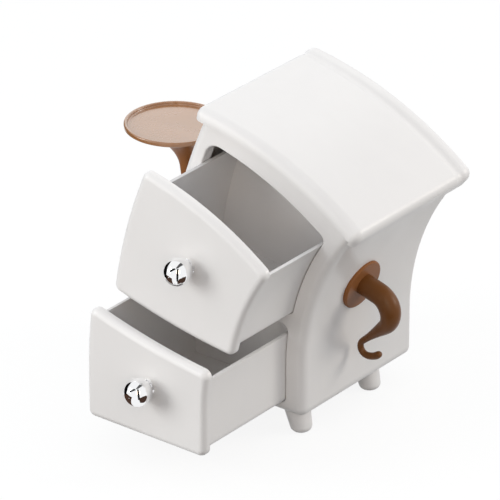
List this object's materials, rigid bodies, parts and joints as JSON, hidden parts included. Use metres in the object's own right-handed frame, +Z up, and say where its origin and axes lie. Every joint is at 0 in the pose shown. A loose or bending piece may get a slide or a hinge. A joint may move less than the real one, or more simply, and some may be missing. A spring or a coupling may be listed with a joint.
{
  "type": "desktop drawer organizer",
  "caption": "Small desktop cabinet that bends to one side, with ball-knob drawers, an arched lid, splayed feet, a trunk-shaped side hook and a dish on a flared arm.",
  "frame": {"origin": "on the table, under the middle of the whole object's width and depth, with the drawers open as pictured", "axes": "+Z up, -Y out of the front that the drawers open to, +X towards the viewer's right and the hook"},
  "size_m": [0.2499, 0.2566, 0.2401],
  "materials": {
    "shell_plastic": "smooth off-white moulded plastic with a soft sheen",
    "panel_plastic": "plain off-white plastic, not polished",
    "chrome_knob": "mirror chrome plating",
    "hook_plastic": "glossy dark brown plastic",
    "plate_plastic": "glossy brown plastic",
    "dish_plastic": "satin light brown plastic",
    "screw_steel": "bright zinc-plated steel"
  },
  "bodies": {
    "cabinet": {"cabinet_shell": "shell_plastic", "lid": "shell_plastic", "back_panel": "panel_plastic", "middle_shelf": "panel_plastic", "lower_left_runner": "panel_plastic", "lower_right_runner": "panel_plastic", "front_left_foot": "shell_plastic", "front_right_foot": "shell_plastic", "rear_left_foot": "shell_plastic", "rear_right_foot": "shell_plastic", "side_hook": "hook_plastic", "hook_plate": "plate_plastic", "dish_arm": "hook_plastic", "arm_plate": "plate_plastic", "dish": "dish_plastic", "lid_screws": "screw_steel", "back_panel_screws": "screw_steel", "foot_screws": "screw_steel", "hook_screws": "screw_steel", "arm_screws": "screw_steel"},
    "upper_drawer": {"upper_drawer_face": "shell_plastic", "upper_drawer_box": "shell_plastic", "upper_knob": "chrome_knob", "upper_face_screws": "screw_steel", "upper_knob_screw": "screw_steel"},
    "lower_drawer": {"lower_drawer_face": "shell_plastic", "lower_drawer_box": "shell_plastic", "lower_knob": "chrome_knob", "lower_face_screws": "screw_steel", "lower_knob_screw": "screw_steel"}
  },
  "joints": [
    {"name": "upper_drawer_slide", "type": "slide", "parent": "cabinet", "child": "upper_drawer", "axis": [0, -1, 0], "range_m": [-0.0646, 0.0346]},
    {"name": "lower_drawer_slide", "type": "slide", "parent": "cabinet", "child": "lower_drawer", "axis": [0, -1, 0], "range_m": [-0.09, 0.0092]}
  ]
}
